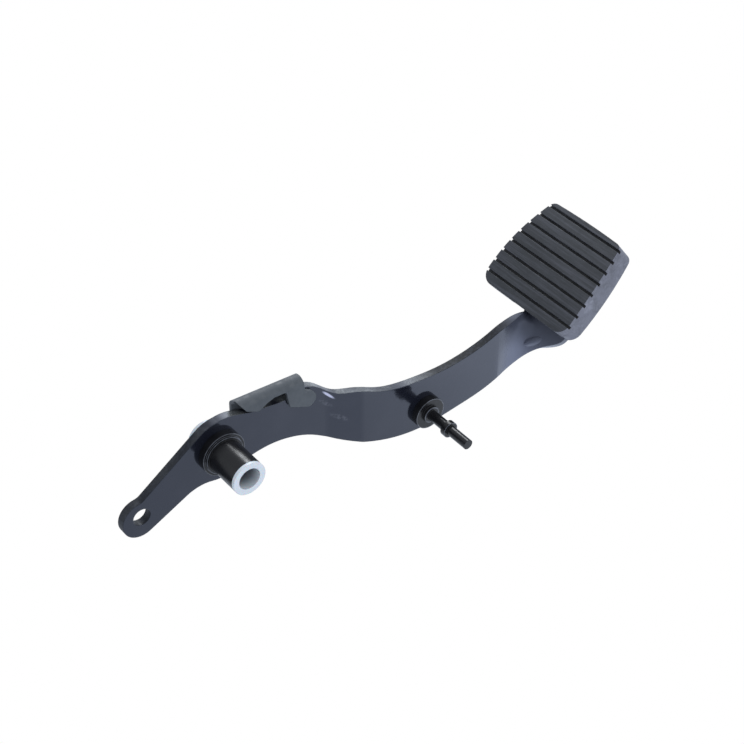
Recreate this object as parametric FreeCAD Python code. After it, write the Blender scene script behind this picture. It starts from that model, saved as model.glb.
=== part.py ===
"""Clutch pedal: stamped arm, pivot tube with bushes, edge bracket, spring stud and rubber pad.

Frame: millimetres, +Z up. The origin is the centre of the pivot bore in the arm's mid plane.
Y is the pivot axis, and -Y is the side that the tube and the stud stand out of.
The arm runs along +X to the pad, and the cable eye is at the -X end.
"""
import FreeCAD, Part
import math
import os

from FreeCAD import Placement, Rotation, Vector

# Arm plate
PLATE = 5.0                     # sheet thickness of the arm and its foot
EYE_X = -50.0                   # cable eye, from the pivot
EYE_Z = -19.7
EYE_BORE_R = 5.25
EYE_END_X = -50.5                # middle of the round end, a little below the hole
EYE_END_Z = -21.3
EYE_END_R = 11.2
LEVER_TOP_ANGLE = 34.5          # slope of the short lever's top edge
LEVER_LOW_ANGLE = 25.2          # slope of its bottom edge
EYE_BLEND_R = 6.0
LOBE_R = 19.6                   # round lobe about the pivot
LOBE_BLEND_R = 24.0
LOBE_EXIT_ANGLE = -58.0         # where the bottom edge leaves the lobe
ARM_TOP = [(9.0, 19.2), (20.0, 15.8), (33.0, 13.6), (45.0, 12.8), (53.0, 15.0), (59.4, 13.8),
           (70.0, 5.5), (76.0, 1.0), (84.3, -1.7), (91.0, -3.5), (100.0, -8.0), (108.0, -11.7),
           (120.0, -14.9), (134.0, -16.9), (150.0, -17.9), (166.0, -16.8), (180.0, -14.0)]
ARM_LOW = [(21.4, -14.0), (32.0, -13.2), (46.5, -15.5), (58.5, -20.4), (74.0, -30.8),
           (90.0, -40.2), (105.7, -47.0), (124.0, -51.7), (140.0, -52.8), (160.0, -50.9),
           (180.0, -47.9)]

# Joggle that offsets the long arm towards -Y
JOGGLE_START_X = 70.0
JOGGLE_END_X = 92.0
JOGGLE_OFFSET = 4.0
JOGGLE_BEND_R = 14.0

# Neck: the flat arm ends here and twists into the foot plate between two edge curves
NECK_X = 192.0
NECK_LOW_Z = -44.2
NECK_TOP_Z = -10.0
NECK_LOW_EDGE = [(201.8, -4.1, -40.1), (207.9, -9.6, -32.6), (211.5, -18.5, -24.3),
                 (214.9, -27.9, -18.1), (219.6, -33.4, -12.2)]
NECK_TOP_EDGE = [(201.5, -4.0, -7.5), (208.2, -4.0, -6.4), (213.8, -3.2, -7.0),
                 (218.2, 1.0, -7.9), (222.8, 7.0, -4.6)]
NECK_RUN_IN = 16.0              # neck's end, past the foot plate's lower edge
NECK_NEAR_Y = -33.3
NECK_WIDTH = 44.3               # where it runs in the foot
NECK_TUCK = 1.6                 # how much thinner it gets in the foot
NECK_SECTIONS = 12
BEAD_FROM = (208.2, -10.3, -24.2)  # stiffening bead pressed beside the lower edge
BEAD_TO = (213.6, -20.5, -16.2)
BEAD_R = 2.8

# Pad and foot plate, in the pad's own plane
PAD_LOW_X = 210.4               # lower edge of the face, level with the crown's top
PAD_Y = -1.5
PAD_LOW_Z = -1.9
PAD_TILT = 38.0                 # slope of the face along the arm
PAD_LENGTH = 62.8
PAD_LOW_HALF = 35.2             # half widths at the lower edge, middle and upper edge
PAD_MID_HALF = 34.6
PAD_TOP_HALF = 28.0
PAD_LOW_CORNER_R = 8.0
PAD_TOP_CORNER_R = 5.0
PAD_TOP_BOW = 0.3               # how far the upper edge falls back at its ends
PAD_BASE_TOP_HALF = 31.9        # the base's own half width and bow at the upper edge
PAD_BASE_TOP_BOW = 2.5
PAD_DRAFT = 2.0                 # how far the base stands out at the sides
PAD_TOP_DRAFT = 0.6             # and at the upper and lower edges
PAD_LOW_DRAFT = -0.7
PAD_CROWN_R = 190.0
PAD_OVER_PLATE = 7.0            # rubber above the foot plate at the crown
PAD_LIP = 2.0                   # lip below the foot plate
LIP_OVERLAP = 6.0
SLOT_NEAR_Y = -27.0             # slot in the lower wall for the neck
SLOT_WIDTH = 39.0
FOOT_INSET = 2.5                # foot plate edge inside the face outline
FOOT_CORNER_R = 4.0
FOOT_FIT = 0.1                  # rubber to plate clearance
RIBS = 9
RIB_PITCH = 7.45
RIB_SHIFT = 1.55                # rib pattern's middle, up the face
GROOVE_WIDTH = 1.7
GROOVE_DEPTH = 2.2

# Pivot tube with its weld, and bushes
TUBE_R = 10.0
TUBE_BORE_R = 8.0
FRONT_REACH = 28.0              # arm face to bush face, long side
REAR_REACH = 10.0               # arm face to bush face, short side
COLLAR_R = 13.2
COLLAR_THICK = 4.3
STEP_R = 11.5
STEP_THICK = 1.0
WELD_LEG = 3.0
BUSH_BORE_R = 6.5
BUSH_FLANGE = 1.8
BUSH_SLEEVE = 13.0

# Spring stud
STUD_X = 137.6
STUD_Z = -41.0
STUD_FLANGE_R = 10.0
STUD_FLANGE = 4.2
STUD_BOSS_R = 5.4
STUD_BOSS = 1.6
STUD_SHANK_R = 3.2
STUD_COLLAR_R = 4.9
STUD_COLLAR = 3.2
STUD_COLLAR_FROM = 15.2         # flange face to collar
STUD_LENGTH = 34.0              # flange face to tip
STUD_TIP_R = 3.1
STUD_TAIL_R = 4.0
RIVET_R = 5.6
RIVET_HEAD = 1.5

# Edge bracket, a saddle over the arm's top edge
SHEET = 2.0
SADDLE_LEFT = (12.0, 25.8)      # crest of the fold, left and right ends
SADDLE_RIGHT = (53.9, 23.2)
FRONT_LOBES = [(54.8, 14.7), (59.2, 12.4), (63.6, 6.8), (58.0, 1.6), (44.7, 8.0), (42.6, 19.4),
               (34.6, 19.9), (29.8, 18.3), (24.8, 15.4), (17.0, 19.3)]
LOBE_CORNER_R = [1.5, 3.5, 4.5, 3.0, 1.6, 1.0, 1.5, 1.5, 3.0, 2.5]
SADDLE_DEPTH = 28.0             # channel walls before they are cut to shape
REAR_TAB_X = 50.0               # the rear wall runs down from the left end to here
REAR_TAB_LOW_Z = 7.0
REAR_TAB_CORNER_R = 4.0

FRONT_FACE = -PLATE / 2.0       # arm faces at the pivot
REAR_FACE = PLATE / 2.0
ARM_Y = -JOGGLE_OFFSET          # mid plane of the long arm
REACH = 400.0                   # longer than the pedal, for cutting bodies


def at(point):
    """Point of the XZ drawing plane."""
    return Vector(point[0], 0.0, point[1])


def on_circle(centre, radius, degrees):
    """Point of a circle in the XZ drawing plane."""
    turn = math.radians(degrees)
    return Vector(centre.x + radius * math.cos(turn), 0.0, centre.z + radius * math.sin(turn))


def spline(points):
    """Smooth edge through points."""
    curve = Part.BSplineCurve()
    curve.interpolate(Points=points)
    return curve.toShape()


def rounded_polygon(points, radii):
    """Closed wire in the XZ plane whose corners are rounded, each by its own radius."""
    count = len(points)
    edges = []
    entries = []
    for i in range(count):
        corner = at(points[i])
        before = (at(points[i - 1]) - corner).normalize()
        after = (at(points[(i + 1) % count]) - corner).normalize()
        half = before.getAngle(after) / 2.0
        setback = radii[i] / math.tan(half)
        middle = (before + after).normalize()
        near = corner + middle * (radii[i] / math.sin(half) - radii[i])
        entries.append((corner + before * setback, near, corner + after * setback))
    for i in range(count):
        first, near, last = entries[i]
        if radii[i] > 0:
            edges.append(Part.Arc(first, near, last).toShape())
        edges.append(Part.makeLine(last, entries[(i + 1) % count][0]))
    return Part.Wire(edges)


def prism(wire, low_y, high_y):
    """Solid between two Y values from a closed wire in the XZ plane."""
    face = Part.Face(wire)
    face.translate(Vector(0, low_y, 0))
    return face.extrude(Vector(0, high_y - low_y, 0))


def turned(profile, x=0.0, z=0.0):
    """Solid turned about the Y direction from (radius, y) corners, at x and z."""
    points = [Vector(radius, y, 0) for radius, y in profile]
    face = Part.Face(Part.makePolygon(points + [points[0]]))
    solid = face.revolve(Vector(0, 0, 0), Vector(0, 1, 0), 360)
    solid.translate(Vector(x, 0, z))
    return solid


def pad_frame():
    """Placement of the pad's own plane: local X up the face, Y along the ribs, Z out of it."""
    turn = math.radians(PAD_TILT)
    half = PAD_LENGTH / 2.0
    middle = Vector(PAD_LOW_X + half * math.cos(turn), PAD_Y, PAD_LOW_Z + half * math.sin(turn))
    return Placement(middle, Rotation(Vector(0, 1, 0), -PAD_TILT))


def foot_point(along, y):
    """Point in the foot plate's mid plane, along from its lower edge and at a given Y."""
    local = Vector(-PAD_LENGTH / 2.0 + FOOT_INSET + along, y - PAD_Y, -PAD_OVER_PLATE - PLATE / 2.0)
    return pad_frame().multVec(local)


def pad_outline(low, top, halves, bow, corner_radii, height):
    """Outline in the pad's own plane, with bowed sides and upper edge.

    The half widths are those at the lower edge, in the middle and at the upper corners.
    The corner radii are those of the lower and the upper corners.
    """
    edges = [Part.makeLine(Vector(low, -halves[0], height), Vector(low, halves[0], height)),
             Part.Arc(Vector(top - bow, -halves[2], height), Vector(top, 0, height),
                      Vector(top - bow, halves[2], height)).toShape()]
    for side in (-1, 1):
        edges.append(Part.Arc(Vector(low, side * halves[0], height),
                              Vector(0, side * halves[1], height),
                              Vector(top - bow, side * halves[2], height)).toShape())
    slab = Part.Face(Part.Wire(Part.__sortEdges__(edges))).extrude(Vector(0, 0, 1))
    for at_top, radius in zip((False, True), corner_radii):
        corners = [edge for edge in slab.Edges if is_upright(edge) and (edge.CenterOfMass.x > 0) == at_top]
        slab = slab.makeFillet(radius, corners)
    bottom = [face for face in slab.Faces if abs(face.CenterOfMass.z - height) < 1e-6]
    return bottom[0].OuterWire


def inset_outline(inset, radius, height):
    """Outline of the pad's face, moved in by an inset."""
    end = PAD_LENGTH / 2.0 - inset
    halves = [half - inset for half in (PAD_LOW_HALF, PAD_MID_HALF, PAD_TOP_HALF)]
    return pad_outline(-end, end, halves, PAD_TOP_BOW, (radius, radius), height)


def is_upright(edge):
    """True for a straight edge along the local Z."""
    ends = [vertex.Point for vertex in edge.Vertexes]
    return len(ends) == 2 and abs(ends[0].x - ends[1].x) + abs(ends[0].y - ends[1].y) < 1e-6


def arm_outline():
    """Side outline of the flat arm, from the cable eye to the neck."""
    pivot = Vector(0, 0, 0)
    eye = at((EYE_END_X, EYE_END_Z))
    lobe_in = on_circle(pivot, LOBE_R, 90.0 + LEVER_TOP_ANGLE)
    along = Vector(math.cos(math.radians(LEVER_TOP_ANGLE)), 0, math.sin(math.radians(LEVER_TOP_ANGLE)))
    nearest = lobe_in + along * (eye - lobe_in).dot(along)
    half_chord = math.sqrt(EYE_END_R ** 2 - (nearest - eye).Length ** 2)
    top_start = nearest + along * half_chord
    low_start = on_circle(eye, EYE_END_R, LEVER_LOW_ANGLE - 90.0)
    down = Vector(math.cos(math.radians(LEVER_LOW_ANGLE)), 0, math.sin(math.radians(LEVER_LOW_ANGLE)))
    reach = -low_start.dot(down)
    run = reach - math.sqrt(reach ** 2 - low_start.Length ** 2 + LOBE_R ** 2)
    low_end = low_start + down * run
    lobe_top = on_circle(pivot, LOBE_R, 90.0)
    lobe_exit = on_circle(pivot, LOBE_R, LOBE_EXIT_ANGLE)
    neck_top = at((NECK_X, NECK_TOP_Z))
    neck_low = at((NECK_X, NECK_LOW_Z))
    top_points = [lobe_top] + [at(p) for p in ARM_TOP] + [neck_top]
    low_points = [lobe_exit] + [at(p) for p in ARM_LOW] + [neck_low]
    edges = [Part.Arc(top_start, on_circle(eye, EYE_END_R, 180.0), low_start).toShape(),
             Part.makeLine(low_start, low_end),
             Part.Arc(low_end, on_circle(pivot, LOBE_R, -95.0), lobe_exit).toShape(),
             spline(low_points),
             Part.makeLine(neck_low, neck_top),
             spline(top_points),
             Part.Arc(lobe_top, on_circle(pivot, LOBE_R, 105.0), lobe_in).toShape(),
             Part.makeLine(lobe_in, top_start)]
    return Part.Wire(edges), top_start, low_end


def edges_at(solid, point):
    """Edges along Y that pass through a point of the XZ drawing plane."""
    found = []
    for edge in solid.Edges:
        ends = [vertex.Point for vertex in edge.Vertexes]
        if len(ends) == 2 and all(math.hypot(p.x - point.x, p.z - point.z) < 1e-3 for p in ends):
            found.append(edge)
    return found


def joggled_strip():
    """Upright sheet as thick as the plate, bent sideways between the two joggle bends."""
    half = PLATE / 2.0
    centre = [(-REACH, 0.0), (JOGGLE_START_X, 0.0), (JOGGLE_END_X, ARM_Y), (REACH, ARM_Y)]
    ring = [Vector(x, y - half, -REACH / 2) for x, y in centre]
    ring += [Vector(x, y + half, -REACH / 2) for x, y in reversed(centre)]
    strip = Part.Face(Part.makePolygon(ring + [ring[0]])).extrude(Vector(0, 0, REACH))
    bends = []
    for edge in strip.Edges:
        x = edge.CenterOfMass.x
        if is_upright(edge) and min(abs(x - JOGGLE_START_X), abs(x - JOGGLE_END_X)) < 1e-3:
            bends.append(edge)
    return strip.makeFillet(JOGGLE_BEND_R, bends)


def flat_arm():
    """Stamped plate from the eye to the neck, with its joggle and holes."""
    wire, eye_corner, lobe_corner = arm_outline()
    blank = prism(wire, -REACH / 2, REACH / 2)
    blank = blank.makeFillet(EYE_BLEND_R, edges_at(blank, eye_corner))
    blank = blank.makeFillet(LOBE_BLEND_R, edges_at(blank, lobe_corner))
    arm = blank.common(joggled_strip())
    for x, z, radius in ((EYE_X, EYE_Z, EYE_BORE_R), (0.0, 0.0, TUBE_R), (STUD_X, STUD_Z, STUD_TAIL_R)):
        arm = arm.cut(Part.makeCylinder(radius, REACH, Vector(x, -REACH / 2, z), Vector(0, 1, 0)))
    return arm


def neck_section(low, high, run, thickness):
    """Cross-section of the neck: a plate end between two edge points, square to the way it runs."""
    across = (high - low).normalize()
    out = across.cross(run).normalize() * (thickness / 2.0)
    corners = [low - out, high - out, high + out, low + out]
    return Part.makePolygon(corners + [corners[0]])


def neck_edge(start_z, points, end):
    """Edge curve of the neck from the flat arm into the foot, run from 0 to 1."""
    through = [Vector(NECK_X, ARM_Y, start_z)] + [Vector(*point) for point in points] + [end]
    curve = Part.BSplineCurve()
    curve.interpolate(Points=through, Parameters=[i / (len(through) - 1.0) for i in range(len(through))])
    return curve


def neck():
    """Twisted and flared plate between the flat arm and the foot plate."""
    low_edge = neck_edge(NECK_LOW_Z, NECK_LOW_EDGE, foot_point(NECK_RUN_IN, NECK_NEAR_Y))
    top_edge = neck_edge(NECK_TOP_Z, NECK_TOP_EDGE, foot_point(NECK_RUN_IN, NECK_NEAR_Y + NECK_WIDTH))
    sections = []
    for i in range(NECK_SECTIONS + 1):
        t = i / NECK_SECTIONS
        low, low_run = low_edge.getD1(t)
        high, high_run = top_edge.getD1(t)
        run = low_run + high_run if i > 0 else Vector(1, 0, 0)
        thin = NECK_TUCK * max(0.0, 2.0 * t - 1.0)
        sections.append(neck_section(low, high, run, PLATE - thin))
    return Part.makeLoft(sections, True, False)


def foot_plate():
    """Flat plate under the pad."""
    wire = inset_outline(FOOT_INSET, FOOT_CORNER_R, -PAD_OVER_PLATE - PLATE)
    plate = Part.Face(wire).extrude(Vector(0, 0, PLATE))
    plate.Placement = pad_frame()
    return plate


def bead():
    """Slim rounded bead, sunk in the neck's front face."""
    start = Vector(*BEAD_FROM)
    end = Vector(*BEAD_TO)
    stretch = FreeCAD.Matrix()
    stretch.scale(1.0, 1.0, (end - start).Length / (2.0 * BEAD_R))
    body = Part.makeSphere(BEAD_R).transformGeometry(stretch)
    body.Placement = Placement((start + end) * 0.5, Rotation(Vector(0, 0, 1), end - start))
    return body


def pedal_arm():
    """Whole one-piece arm."""
    return flat_arm().fuse([neck(), foot_plate(), bead()]).removeSplitter()


def pad_rubber(arm):
    """Moulded pad: drafted and crowned block with grooves, hooked round the foot plate."""
    base_z = -PAD_OVER_PLATE - PLATE - PAD_LIP
    end = PAD_LENGTH / 2.0
    radii = (PAD_LOW_CORNER_R, PAD_TOP_CORNER_R)
    face_halves = (PAD_LOW_HALF, PAD_MID_HALF, PAD_TOP_HALF)
    base_halves = (PAD_LOW_HALF + PAD_DRAFT, PAD_MID_HALF + PAD_DRAFT, PAD_BASE_TOP_HALF)
    face_wire = pad_outline(-end, end, face_halves, PAD_TOP_BOW, radii, 0.0)
    base_wire = pad_outline(-end - PAD_LOW_DRAFT, end + PAD_TOP_DRAFT, base_halves, PAD_BASE_TOP_BOW,
                            radii, base_z)
    block = Part.makeLoft([base_wire, face_wire], True, True)
    crown = Part.makeCylinder(PAD_CROWN_R, REACH, Vector(0, -REACH / 2, -PAD_CROWN_R), Vector(0, 1, 0))
    pad = block.common(crown)
    for i in range(RIBS - 1):
        along = RIB_SHIFT + (i - (RIBS - 2) / 2.0) * RIB_PITCH
        floor = math.sqrt(PAD_CROWN_R ** 2 - along ** 2) - PAD_CROWN_R - GROOVE_DEPTH
        groove = Part.makeBox(GROOVE_WIDTH, REACH, GROOVE_DEPTH * 3,
                              Vector(along - GROOVE_WIDTH / 2.0, -REACH / 2, floor))
        pad = pad.cut(groove)
    pocket_wire = inset_outline(FOOT_INSET - FOOT_FIT, FOOT_CORNER_R, -PAD_OVER_PLATE - PLATE - FOOT_FIT)
    pocket = Part.Face(pocket_wire).extrude(Vector(0, 0, PLATE + 2 * FOOT_FIT))
    window_wire = inset_outline(FOOT_INSET + LIP_OVERLAP, FOOT_CORNER_R, base_z - 1.0)
    window = Part.Face(window_wire).extrude(Vector(0, 0, PAD_LIP + PLATE))
    slot = Part.makeBox(PAD_LENGTH / 3.0, SLOT_WIDTH, PAD_LIP + PLATE + 1.0 + FOOT_FIT,
                        Vector(-PAD_LENGTH / 2.0 - 1.0, SLOT_NEAR_Y - PAD_Y, base_z - 1.0))
    pad = pad.cut([pocket, window, slot])
    pad.Placement = pad_frame()
    return pad.cut(arm)


def pivot_tube():
    """Turned tube through the arm, with a shoulder collar in front and its fillet weld behind."""
    front = FRONT_FACE - FRONT_REACH + BUSH_FLANGE
    rear = REAR_FACE + REAR_REACH - BUSH_FLANGE
    collar = FRONT_FACE - COLLAR_THICK
    step = collar - STEP_THICK
    return turned([(TUBE_BORE_R, front), (TUBE_R, front), (TUBE_R, step), (STEP_R, step),
                   (STEP_R, collar), (COLLAR_R, collar), (COLLAR_R, FRONT_FACE),
                   (TUBE_R, FRONT_FACE), (TUBE_R, REAR_FACE), (TUBE_R + WELD_LEG, REAR_FACE),
                   (TUBE_R, REAR_FACE + WELD_LEG), (TUBE_R, rear), (TUBE_BORE_R, rear)])


def bush(face_y, inward):
    """Flanged bush: its flange face is at face_y, and its sleeve runs inward along Y."""
    seat = face_y + inward * BUSH_FLANGE
    end = seat + inward * BUSH_SLEEVE
    return turned([(BUSH_BORE_R, face_y), (TUBE_R, face_y), (TUBE_R, seat), (TUBE_BORE_R, seat),
                   (TUBE_BORE_R, end), (BUSH_BORE_R, end)])


def spring_stud():
    """Turned stud with its riveted tail through the arm."""
    seat = ARM_Y - PLATE / 2.0
    face = seat - STUD_FLANGE
    boss = face - STUD_BOSS
    collar = face - STUD_COLLAR_FROM
    collar_end = collar - STUD_COLLAR
    tip = face - STUD_LENGTH
    rear = ARM_Y + PLATE / 2.0
    return turned([(0, tip), (STUD_TIP_R, tip), (STUD_TIP_R, collar_end),
                   (STUD_COLLAR_R, collar_end), (STUD_COLLAR_R, collar),
                   (STUD_SHANK_R, collar), (STUD_SHANK_R, boss), (STUD_BOSS_R, boss),
                   (STUD_BOSS_R, face), (STUD_FLANGE_R, face), (STUD_FLANGE_R, seat),
                   (STUD_TAIL_R, seat), (STUD_TAIL_R, rear), (RIVET_R, rear),
                   (RIVET_R, rear + RIVET_HEAD), (0, rear + RIVET_HEAD)], STUD_X, STUD_Z)


def saddle_blank(length):
    """Sheet bent to a round-backed channel, its crest along +X through the origin."""
    outer = REAR_FACE + SHEET
    inner = REAR_FACE
    tube = Part.makeCylinder(outer, length, Vector(0, 0, -outer), Vector(1, 0, 0))
    walls = Part.makeBox(length, 2.0 * outer, SADDLE_DEPTH, Vector(0, -outer, -outer - SADDLE_DEPTH))
    hollow = Part.makeCylinder(inner, length, Vector(0, 0, -outer), Vector(1, 0, 0))
    gap = Part.makeBox(length, 2.0 * inner, SADDLE_DEPTH, Vector(0, -inner, -outer - SADDLE_DEPTH))
    return tube.fuse(walls).cut(hollow.fuse(gap)).removeSplitter()


def edge_bracket():
    """Folded sheet saddle, its front wall cut to two lobes and its rear wall to a plain tab."""
    above = 1.0
    fold = REAR_FACE + SHEET
    left = (SADDLE_LEFT[0], SADDLE_LEFT[1] + above)
    right = (SADDLE_RIGHT[0], SADDLE_RIGHT[1] + above)
    front_wire = rounded_polygon([left, right] + FRONT_LOBES, [0.0, 0.0] + LOBE_CORNER_R)
    run = at(SADDLE_RIGHT) - at(SADDLE_LEFT)
    slope = run.z / run.x
    under = SADDLE_RIGHT[1] - 1.5 * fold
    rear_points = [left, right, (SADDLE_RIGHT[0], under), (REAR_TAB_X, under),
                   (REAR_TAB_X, REAR_TAB_LOW_Z), (SADDLE_LEFT[0], REAR_TAB_LOW_Z)]
    rear_radii = [0.0, 0.0, 0.0, 0.0, REAR_TAB_CORNER_R, REAR_TAB_CORNER_R]
    wide = 2.0 * fold
    keep = prism(front_wire, -wide, 0.0).fuse(prism(rounded_polygon(rear_points, rear_radii), 0.0, wide))
    blank = saddle_blank(run.Length + 2.0 * SADDLE_DEPTH)
    blank.translate(Vector(-SADDLE_DEPTH, 0, 0))
    blank.rotate(Vector(0, 0, 0), Vector(0, 1, 0), -math.degrees(math.atan(slope)))
    blank.translate(at(SADDLE_LEFT))
    return blank.common(keep).removeSplitter()


def export(name, shape):
    """Write one piece as a STEP file."""
    shape.exportStep("parts/" + name + ".step")
    print(name, shape.isValid(), len(shape.Solids), round(shape.Volume, 1))


def main():
    os.makedirs("parts", exist_ok=True)
    arm = pedal_arm()
    export("pedal_arm", arm)
    export("pad_rubber", pad_rubber(arm))
    export("pivot_tube", pivot_tube())
    export("front_bush", bush(FRONT_FACE - FRONT_REACH, 1))
    export("rear_bush", bush(REAR_FACE + REAR_REACH, -1))
    export("spring_stud", spring_stud())
    export("edge_bracket", edge_bracket())


main()
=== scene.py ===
"""Clutch pedal, dressed for the photograph's view.

Every CAD node keeps its shape here: this script gives each one a material that also softens its
edges, and adds the camera, the white floor and the soft light. All sizes are in metres.
"""
import math

import bpy
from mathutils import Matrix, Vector


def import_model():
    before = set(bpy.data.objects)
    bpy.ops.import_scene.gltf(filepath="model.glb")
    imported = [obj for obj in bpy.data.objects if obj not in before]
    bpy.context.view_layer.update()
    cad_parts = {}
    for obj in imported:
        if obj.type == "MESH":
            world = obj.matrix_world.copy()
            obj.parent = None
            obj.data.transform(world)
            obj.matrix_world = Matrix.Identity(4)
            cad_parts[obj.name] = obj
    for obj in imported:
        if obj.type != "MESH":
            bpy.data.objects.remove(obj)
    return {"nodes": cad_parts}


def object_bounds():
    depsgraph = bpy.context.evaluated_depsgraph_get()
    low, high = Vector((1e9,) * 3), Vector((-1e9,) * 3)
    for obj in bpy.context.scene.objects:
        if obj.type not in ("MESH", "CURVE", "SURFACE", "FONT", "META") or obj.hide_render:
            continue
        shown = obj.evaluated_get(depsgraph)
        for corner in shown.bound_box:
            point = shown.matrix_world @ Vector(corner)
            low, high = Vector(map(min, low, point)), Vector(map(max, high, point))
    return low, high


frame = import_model()
cad_low, cad_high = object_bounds()
nodes = frame["nodes"]

# Camera, fitted to the photograph
CAMERA_AT = (-0.3672, -0.6134, 0.6375)
CAMERA_AZIMUTH = -37.5
CAMERA_ELEVATION = 39.5
LENS_MM = 87.1
SENSOR_MM = 36.0
CLIP_START = 0.01

# Studio
FLOOR_GAP = 0.0015              # floor below the lowest point
FLOOR_HALF = 3.0
FLOOR_LIGHT = (0.82, 0.89, 1.0, 1.0)
FLOOR_GLOW = (-0.10, 0.10, 0.90, 1.05)  # from X, to X, and the strengths there
PAD_GLOW = (0.09, 0.26, 0.0, 0.75)      # the same, for what is added below the pad
WALL_LIGHT = (0.88, 0.93, 1.0, 1.0)
WALL_GLOW = 0.95
CEILING_GLOW = 0.85
LAMP_LIGHT = (0.94, 0.97, 1.0)
WHITE = (1.0, 1.0, 1.0, 1.0)

# Finish colours, linear
PAINT = (0.006, 0.007, 0.012, 1.0)
PAINT_DUST = (0.05, 0.05, 0.06, 1.0)
PAINT_SCUFF = (0.16, 0.17, 0.18, 1.0)
PAINT_EDGE = (0.20, 0.21, 0.205, 1.0)
PAINT_RUB = (0.22, 0.22, 0.26, 1.0)
# painted highlight: the pale lavender glints on the joggle's bend
PAINTED_GLINT = (0.55, 0.56, 0.72, 1.0)
# painted reflection: the lighter, bluer lower part of the neck
NECK_PAINTED_REFLECTION = (0.155, 0.168, 0.225, 1.0)
GLOSS_TINT = (0.75, 0.81, 1.0, 1.0)
MATT_TINT = (0.20, 0.21, 0.18, 1.0)
BLACKING = (0.004, 0.004, 0.005, 1.0)
BLACKING_DUST = (0.05, 0.05, 0.055, 1.0)
# painted highlight on the front rims of the turned parts
BLACKING_RIM_HIGHLIGHT = (0.15, 0.16, 0.19, 1.0)
GREY_COAT = (0.046, 0.054, 0.064, 1.0)
GREY_CLOUD = (0.07, 0.08, 0.092, 1.0)
# painted highlight on the bracket's rims and fold
GREY_RIM_HIGHLIGHT = (0.12, 0.13, 0.145, 1.0)
WHITE_PLASTIC = (0.60, 0.64, 0.68, 1.0)
PLASTIC_GRIME = (0.42, 0.44, 0.45, 1.0)
BORE_SHADE = (0.20, 0.215, 0.235, 1.0)
RUBBER = (0.021, 0.0235, 0.028, 1.0)
# tone of the dust and brush marks, and of the paler walls
RUBBER_DUST_AND_PALE_WALL = (0.112, 0.116, 0.146, 1.0)
RUBBER_SMUDGE = (0.24, 0.25, 0.30, 1.0)
GROOVE_SHADE = (0.003, 0.003, 0.004, 1.0)

# Places on the pedal that the finishes follow
LOBE_BARE = (-0.014, 0.006)     # X where the bare sheared edge begins, on the lobe
CURVE_BARE = (0.118, 0.150)     # X where it ends, on the long arm
NECK_BEGINS = (0.188, 0.208)    # X of the neck's start
EDGE_TURNS = (0.197, 0.207)     # X where the sheared edge turns to the rear
NECK_LOW = (-0.030, -0.012)     # Z of the neck's lower part
PIVOT_AXIS = (0.0, 0.0)         # X and Z
PIVOT_RIMS = (0.0132, 0.0115)   # radii of the collar and its step
STUD_AXIS = (0.1376, -0.0410)   # X and Z
STUD_RIMS = (0.0100, 0.0049)    # radii of the flange and the collar
RIM_HIGHLIGHT_REACH = (0.0007, 0.0004)      # how far a painted rim highlight reaches inside and outside its rim
RIM_SLACK = 0.0001              # keeps a mask clear of the surface that it starts from
TUBE_MIDDLE_Y = -0.009
BUSH_BORE_R = 0.0065
BORE_SHADED = (0.012, 0.0212)   # from the tube's middle, where the shade is full and faint
PAD_MIDDLE = (0.23514, 0.01743)  # X and Z
PAD_TILT = 38.0                 # the face's turn up from +X
PAD_CROWN_R = 0.190             # radius of its crown
GROOVE_SHADED = (0.0004, 0.0014)  # depths where the grooves begin to darken and are dark

# Marks at the joggle, painted glints on its bend and rubs: X, Z, turn up from +X, half length, half
# width
JOGGLE_GLINTS = [(0.0712, 0.0019, -48.0, 0.0067, 0.0010), (0.0856, -0.0009, -14.0, 0.0058, 0.0011)]
RUBS = [(0.0693, -0.0032, -44.0, 0.0076, 0.0016), (0.0777, -0.0166, -38.0, 0.0094, 0.0020)]


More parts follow.
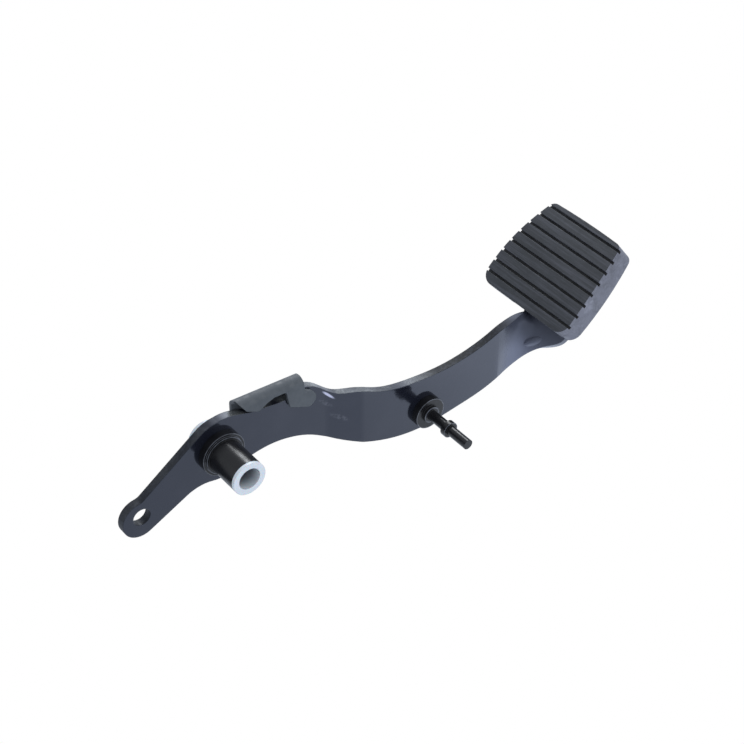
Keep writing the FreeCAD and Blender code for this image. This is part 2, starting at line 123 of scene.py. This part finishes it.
class Shader:
    """Small helper that builds the node tree of a material or of the world."""

    def __init__(self, owner, output_kind="ShaderNodeOutputMaterial"):
        owner.use_nodes = True
        self.owner = owner
        self.tree = owner.node_tree
        self.tree.nodes.clear()
        self.output = self.add(output_kind)
        self.coords = self.add("ShaderNodeTexCoord")

    def add(self, kind, **values):
        node = self.tree.nodes.new(kind)
        for name, value in values.items():
            setattr(node, name, value)
        return node

    def link(self, source, target):
        self.tree.links.new(source, target)

    def put(self, socket, value):
        """Link a socket, or set a plain value."""
        if isinstance(value, bpy.types.NodeSocket):
            self.link(value, socket)
        else:
            socket.default_value = value

    def noise(self, scale, detail=3.0, roughness=0.5, stretch=None):
        """Fractal noise in object metres, as a 0..1 value."""
        texture = self.add("ShaderNodeTexNoise")
        texture.inputs["Scale"].default_value = scale
        texture.inputs["Detail"].default_value = detail
        texture.inputs["Roughness"].default_value = roughness
        source = self.coords.outputs["Object"]
        if stretch is not None:
            mapping = self.add("ShaderNodeMapping")
            mapping.inputs["Scale"].default_value = stretch
            self.link(source, mapping.inputs["Vector"])
            source = mapping.outputs["Vector"]
        self.link(source, texture.inputs["Vector"])
        return texture.outputs["Fac"]

    def spread(self, value, low, high, out_low=0.0, out_high=1.0):
        """Smooth remap of a value, clamped at both ends."""
        remap = self.add("ShaderNodeMapRange", interpolation_type="SMOOTHSTEP")
        self.put(remap.inputs["Value"], value)
        remap.inputs["From Min"].default_value = low
        remap.inputs["From Max"].default_value = high
        remap.inputs["To Min"].default_value = out_low
        remap.inputs["To Max"].default_value = out_high
        return remap.outputs["Result"]

    def math(self, operation, first, *others):
        """One operation, repeated over all the values from the left."""
        result = first
        for value in others:
            node = self.add("ShaderNodeMath", operation=operation)
            self.put(node.inputs[0], result)
            self.put(node.inputs[1], value)
            result = node.outputs[0]
        return result

    def times(self, *values):
        return self.math("MULTIPLY", *values)

    def plus(self, *values):
        return self.math("ADD", *values)

    def most(self, *values):
        return self.math("MAXIMUM", *values)

    def unsigned(self, value):
        """Value without its sign."""
        return self.most(value, self.times(value, -1.0))

    def rest_of(self, value):
        """What the value lacks of 1."""
        return self.math("SUBTRACT", 1.0, value)

    def mix(self, factor, first, second):
        """Colour mix."""
        node = self.add("ShaderNodeMix", data_type="RGBA")
        self.put(node.inputs["Factor"], factor)
        self.put(node.inputs["A"], first)
        self.put(node.inputs["B"], second)
        return node.outputs["Result"]

    def axis(self, vector, index):
        """One component of a vector."""
        split = self.add("ShaderNodeSeparateXYZ")
        self.link(vector, split.inputs["Vector"])
        return split.outputs[index]

    def place(self, index):
        """One component of the object coordinates."""
        return self.axis(self.coords.outputs["Object"], index)

    def looks_along_y(self):
        """How far a face looks towards +Y, from -1 to 1."""
        return self.axis(self.coords.outputs["Normal"], 1)

    def turned(self, x, z, turn, scale=(1.0, 1.0, 1.0)):
        """Object coordinates from a point of the XZ plane, turned up from +X, in units of scale."""
        mapping = self.add("ShaderNodeMapping", vector_type="TEXTURE")
        mapping.inputs["Location"].default_value = (x, 0.0, z)
        mapping.inputs["Rotation"].default_value = (0.0, -math.radians(turn), 0.0)
        mapping.inputs["Scale"].default_value = scale
        self.link(self.coords.outputs["Object"], mapping.inputs["Vector"])
        return mapping.outputs["Vector"]

    def radius(self, x, z):
        """Distance from the line along Y through a point of the XZ plane."""
        vector = self.turned(x, z, 0.0)
        squares = [self.times(self.axis(vector, i), self.axis(vector, i)) for i in (0, 2)]
        return self.math("POWER", self.plus(*squares), 0.5)

    def streaks(self, marks):
        """Soft lens-shaped marks in the XZ plane: 1 in their middle, 0 at their rims."""
        found = []
        for x, z, turn, half_length, half_width in marks:
            distance = self.add("ShaderNodeVectorMath", operation="LENGTH")
            local = self.turned(x, z, turn, (half_length, 1.0, half_width))
            self.link(local, distance.inputs[0])
            found.append(self.spread(distance.outputs["Value"], 0.35, 1.0, 1.0, 0.0))
        return self.most(*found)

    def bump(self, height, distance, strength, edge_radius):
        """Fine relief over softened edges."""
        bevel = self.add("ShaderNodeBevel", samples=6)
        bevel.inputs["Radius"].default_value = edge_radius
        node = self.add("ShaderNodeBump")
        node.inputs["Strength"].default_value = strength
        node.inputs["Distance"].default_value = distance
        self.put(node.inputs["Height"], height)
        self.link(bevel.outputs["Normal"], node.inputs["Normal"])
        return node.outputs["Normal"]

    def surface(self, color, roughness, normal, **more):
        """Finish the material with one Principled shader."""
        shader = self.add("ShaderNodeBsdfPrincipled")
        self.put(shader.inputs["Base Color"], color)
        self.put(shader.inputs["Roughness"], roughness)
        self.put(shader.inputs["Normal"], normal)
        for name, value in more.items():
            self.put(shader.inputs[name.replace("_", " ")], value)
        self.link(shader.outputs["BSDF"], self.output.inputs["Surface"])
        return self.owner

    def white_to_camera(self, kind, color, strength):
        """Finish with a light of this colour and strength that the camera sees as plain white."""
        glow = self.add(kind)
        self.put(glow.inputs["Color"], color)
        self.put(glow.inputs["Strength"], strength)
        plain = self.add(kind)
        self.put(plain.inputs["Color"], WHITE)
        self.put(plain.inputs["Strength"], 1.0)
        path = self.add("ShaderNodeLightPath")
        choose = self.add("ShaderNodeMixShader")
        self.link(path.outputs["Is Camera Ray"], choose.inputs[0])
        self.link(glow.outputs[0], choose.inputs[1])
        self.link(plain.outputs[0], choose.inputs[2])
        self.link(choose.outputs["Shader"], self.output.inputs["Surface"])


def material(name):
    """Empty shader of a new material."""
    return Shader(bpy.data.materials.new(name))


def arm_paint():
    """Glossy black paint, bare on part of the sheared edge, rubbed and with painted glints at the
    joggle, and a painted reflection low on the neck.
    """
    s = material("arm_paint")
    along = s.place(0)
    cut_edge = s.spread(s.unsigned(s.looks_along_y()), 0.30, 0.55, 1.0, 0.0)
    in_front = s.spread(s.looks_along_y(), -0.60, -0.20, 1.0, 0.0)
    bare_run = s.times(s.spread(along, *CURVE_BARE, 1.0, 0.0), s.spread(along, *LOBE_BARE, 0.12, 1.0))
    painted_edge = s.times(cut_edge, s.rest_of(bare_run))
    on_neck = s.spread(along, *NECK_BEGINS)
    # painted reflection: the neck turns lighter and bluer towards its lower part
    neck_reflection = s.times(on_neck, s.spread(s.place(2), *NECK_LOW, 1.0, 0.22))

    # Painted reflection low on the neck, dust, wear and marks (rubs, and painted glints at the
    # joggle), laid over the paint one by one
    patches = s.spread(s.noise(70.0, 2.0), 0.38, 0.62)
    grain = s.spread(s.noise(1000.0, 3.0, 0.7), 0.42, 0.60, 0.45, 1.0)
    bare = s.times(cut_edge, bare_run, patches, grain)
    scuffs = s.spread(s.noise(260.0, 4.0, 0.6, (0.35, 1.0, 1.6)), 0.66, 0.78)
    dust = s.spread(s.noise(38.0, 4.0, 0.6), 0.45, 0.75)
    # painted highlights: glints along the joggle's bend, on the front faces only
    glints = s.times(s.streaks(JOGGLE_GLINTS), in_front)
    rubs = s.times(s.streaks(RUBS), in_front, s.spread(s.noise(500.0, 3.0), 0.35, 0.65))
    tone = s.mix(s.times(neck_reflection, 0.85), PAINT, NECK_PAINTED_REFLECTION)
    tone = s.mix(s.times(dust, 0.12), tone, PAINT_DUST)
    tone = s.mix(s.times(scuffs, 0.10), tone, PAINT_SCUFF)
    tone = s.mix(s.times(bare, 0.8), tone, PAINT_EDGE)
    tone = s.mix(s.times(rubs, 0.18), tone, PAINT_RUB)
    # the painted glints go over everything else
    tone = s.mix(s.times(glints, 0.85), tone, PAINTED_GLINT)

    # The cut edge and the neck shine less, and the painted edge reflects in a darker tint
    dull = s.most(s.times(painted_edge, 0.45), s.times(on_neck, 0.30), s.times(cut_edge, 0.32))
    rough = s.plus(s.spread(s.noise(120.0, 3.0), 0.3, 0.7, 0.09, 0.14), dull)
    speckle = s.spread(s.noise(600.0, 3.0), 0.40, 0.72, 1.0, 0.55)
    matt = s.times(painted_edge, s.spread(along, *EDGE_TURNS, 1.0, 0.0), speckle)
    tint = s.mix(matt, GLOSS_TINT, MATT_TINT)
    normal = s.bump(s.noise(420.0, 2.0), 0.00005, 0.35, 0.0007)
    return s.surface(tone, rough, normal, Specular_IOR_Level=0.70, Specular_Tint=tint)


def turned_paint(name, axis, rims):
    """Smooth deep black paint of a part turned about an axis, with painted highlights on its front
    rims.
    """
    s = material(name)
    radius = s.radius(*axis)
    inside, outside = RIM_HIGHLIGHT_REACH
    # painted highlight: thin pale rings at the front rims, on front faces only
    rings = [s.times(s.spread(radius, rim - inside, rim - RIM_SLACK),
                     s.spread(radius, rim + RIM_SLACK, rim + outside, 1.0, 0.0)) for rim in rims]
    in_front = s.spread(s.looks_along_y(), -0.80, -0.40, 1.0, 0.0)
    rim_highlight = s.times(s.most(*rings), in_front, s.spread(s.noise(300.0, 3.0), 0.30, 0.60, 0.4, 1.0))
    dust = s.spread(s.noise(90.0, 4.0, 0.6), 0.45, 0.75)
    tone = s.mix(s.times(dust, 0.10), BLACKING, BLACKING_DUST)
    tone = s.mix(s.times(rim_highlight, 0.8), tone, BLACKING_RIM_HIGHLIGHT)
    rough = s.spread(s.noise(240.0, 3.0), 0.3, 0.7, 0.27, 0.35)
    normal = s.bump(s.noise(420.0, 2.0), 0.00003, 0.35, 0.0004)
    return s.surface(tone, rough, normal, Specular_IOR_Level=0.35)


def bracket_paint():
    """Matt grey coat with a fine tooth, paler on the rims and the fold: a painted highlight."""
    s = material("bracket_paint")
    # painted highlight: faces that look across Y, the rims and the fold, are paler
    rim = s.spread(s.unsigned(s.looks_along_y()), 0.25, 0.9, 1.0, 0.0)
    cloud = s.spread(s.noise(60.0, 4.0, 0.6), 0.3, 0.7)
    tone = s.mix(s.times(cloud, 0.35), GREY_COAT, GREY_CLOUD)
    tone = s.mix(s.times(rim, 0.3), tone, GREY_RIM_HIGHLIGHT)
    rough = s.spread(s.noise(300.0, 3.0), 0.3, 0.7, 0.5, 0.68)
    normal = s.bump(s.noise(1400.0, 3.0), 0.00006, 0.5, 0.0005)
    return s.surface(tone, rough, normal)


def white_plastic():
    """White moulded plastic, slightly translucent, with faint grime and a shaded bore."""
    s = material("white_plastic")
    grime = s.spread(s.noise(160.0, 4.0, 0.6), 0.5, 0.8)
    from_middle = s.unsigned(s.math("SUBTRACT", s.place(1), TUBE_MIDDLE_Y))
    in_bore = s.spread(s.radius(*PIVOT_AXIS), BUSH_BORE_R + RIM_SLACK, BUSH_BORE_R + 0.0004, 1.0, 0.0)
    shaded = s.times(in_bore, s.spread(from_middle, *BORE_SHADED, 1.0, 0.1))
    tone = s.mix(s.times(grime, 0.18), WHITE_PLASTIC, PLASTIC_GRIME)
    tone = s.mix(shaded, tone, BORE_SHADE)
    rough = s.spread(s.noise(350.0, 3.0), 0.3, 0.7, 0.28, 0.42)
    normal = s.bump(s.noise(900.0, 2.0), 0.00004, 0.4, 0.0004)
    return s.surface(tone, rough, normal, Subsurface_Weight=0.15, Subsurface_Scale=0.002)


def pad_rubber():
    """Moulded black rubber: brushed ribs, dark grooves and paler, smudged walls."""
    s = material("pad_rubber")
    tilt = math.radians(PAD_TILT)
    facing = s.add("ShaderNodeVectorMath", operation="DOT_PRODUCT")
    s.link(s.coords.outputs["Normal"], facing.inputs[0])
    facing.inputs[1].default_value = (-math.sin(tilt), 0.0, math.cos(tilt))
    wall = s.spread(facing.outputs["Value"], 0.55, 0.85, 1.0, 0.0)
    face = s.turned(*PAD_MIDDLE, PAD_TILT)
    up_face = s.axis(face, 0)
    crown_drop = s.times(up_face, up_face, 0.5 / PAD_CROWN_R)
    depth = s.math("SUBTRACT", s.times(s.axis(face, 2), -1.0), crown_drop)
    groove = s.times(s.spread(depth, *GROOVE_SHADED), s.rest_of(wall))

    cloud = s.spread(s.noise(45.0, 5.0, 0.62), 0.3, 0.72)
    specks = s.spread(s.noise(1100.0, 2.0, 0.5), 0.62, 0.74)
    brushed = s.spread(s.noise(700.0, 4.0, 0.75, (1.0, 0.03, 1.0)), 0.42, 0.66)
    smudge = s.times(wall, s.spread(s.noise(95.0, 4.0, 0.7), 0.50, 0.72))
    # the walls are paler than the face
    pale_walls = s.times(wall, s.plus(0.42, s.times(cloud, 0.68)))
    dust = s.plus(pale_walls, s.times(specks, 0.06), s.times(cloud, 0.07), s.times(brushed, 0.24))
    tone = s.mix(dust, RUBBER, RUBBER_DUST_AND_PALE_WALL)
    tone = s.mix(s.times(smudge, 0.45), tone, RUBBER_SMUDGE)
    tone = s.mix(s.times(groove, 0.9), tone, GROOVE_SHADE)
    rough = s.spread(s.noise(200.0, 3.0), 0.3, 0.7, 0.48, 0.66)
    normal = s.bump(s.noise(1300.0, 3.0, 0.5, (1.0, 0.35, 1.0)), 0.00006, 0.6, 0.0005)
    return s.surface(tone, rough, normal, Specular_IOR_Level=0.40)


def dress():
    """Give every node its finish."""
    plastic = white_plastic()
    finishes = {"pedal_arm": arm_paint(),
                "pivot_tube": turned_paint("tube_paint", PIVOT_AXIS, PIVOT_RIMS),
                "spring_stud": turned_paint("stud_paint", STUD_AXIS, STUD_RIMS),
                "edge_bracket": bracket_paint(),
                "front_bush": plastic,
                "rear_bush": plastic,
                "pad_rubber": pad_rubber()}
    for name, finish in finishes.items():
        mesh = nodes[name].data
        mesh.materials.clear()
        mesh.materials.append(finish)


def floor():
    """Floor that is plain white to the camera and lights the pedal, most of all below the pad."""
    half, height = FLOOR_HALF, cad_low.z - FLOOR_GAP
    mesh = bpy.data.meshes.new("studio_floor")
    mesh.from_pydata([(-half, -half, height), (half, -half, height),
                      (half, half, height), (-half, half, height)], [], [(0, 1, 2, 3)])
    plane = bpy.data.objects.new("studio_floor", mesh)
    bpy.context.scene.collection.objects.link(plane)
    s = material("studio_floor")
    along = s.place(0)
    glow = s.plus(s.spread(along, *FLOOR_GLOW), s.spread(along, *PAD_GLOW))
    s.white_to_camera("ShaderNodeEmission", FLOOR_LIGHT, glow)
    mesh.materials.append(s.owner)


def world():
    """White studio walls under a slightly dimmer ceiling."""
    surround = bpy.data.worlds.new("studio")
    bpy.context.scene.world = surround
    s = Shader(surround, "ShaderNodeOutputWorld")
    height = s.axis(s.coords.outputs["Generated"], 2)
    glow = s.spread(height, 0.05, 0.95, WALL_GLOW, CEILING_GLOW)
    s.white_to_camera("ShaderNodeBackground", WALL_LIGHT, glow)


def lamp(name, place, aim, size, power):
    """Square soft light."""
    light = bpy.data.lights.new(name, "AREA")
    light.size = size
    light.energy = power
    light.color = LAMP_LIGHT
    unit = bpy.data.objects.new(name, light)
    unit.location = place
    unit.rotation_euler = (Vector(aim) - Vector(place)).to_track_quat("-Z", "Y").to_euler()
    bpy.context.scene.collection.objects.link(unit)


def camera():
    """Camera of the photograph."""
    data = bpy.data.cameras.new("camera")
    data.lens = LENS_MM
    data.sensor_width = SENSOR_MM
    data.clip_start = CLIP_START
    unit = bpy.data.objects.new("camera", data)
    unit.location = CAMERA_AT
    unit.rotation_euler = (math.radians(90.0 - CAMERA_ELEVATION), 0.0, math.radians(CAMERA_AZIMUTH))
    bpy.context.scene.collection.objects.link(unit)
    bpy.context.scene.camera = unit


dress()
floor()
world()
lamp("key", place=(0.72, 0.78, 0.85), aim=(0.1, 0.0, 0.0), size=0.40, power=7.0)
lamp("front", place=(0.6, -0.9, 0.6), aim=(0.15, 0.0, 0.0), size=0.9, power=4.2)
camera()
bpy.context.scene.view_settings.view_transform = "Standard"
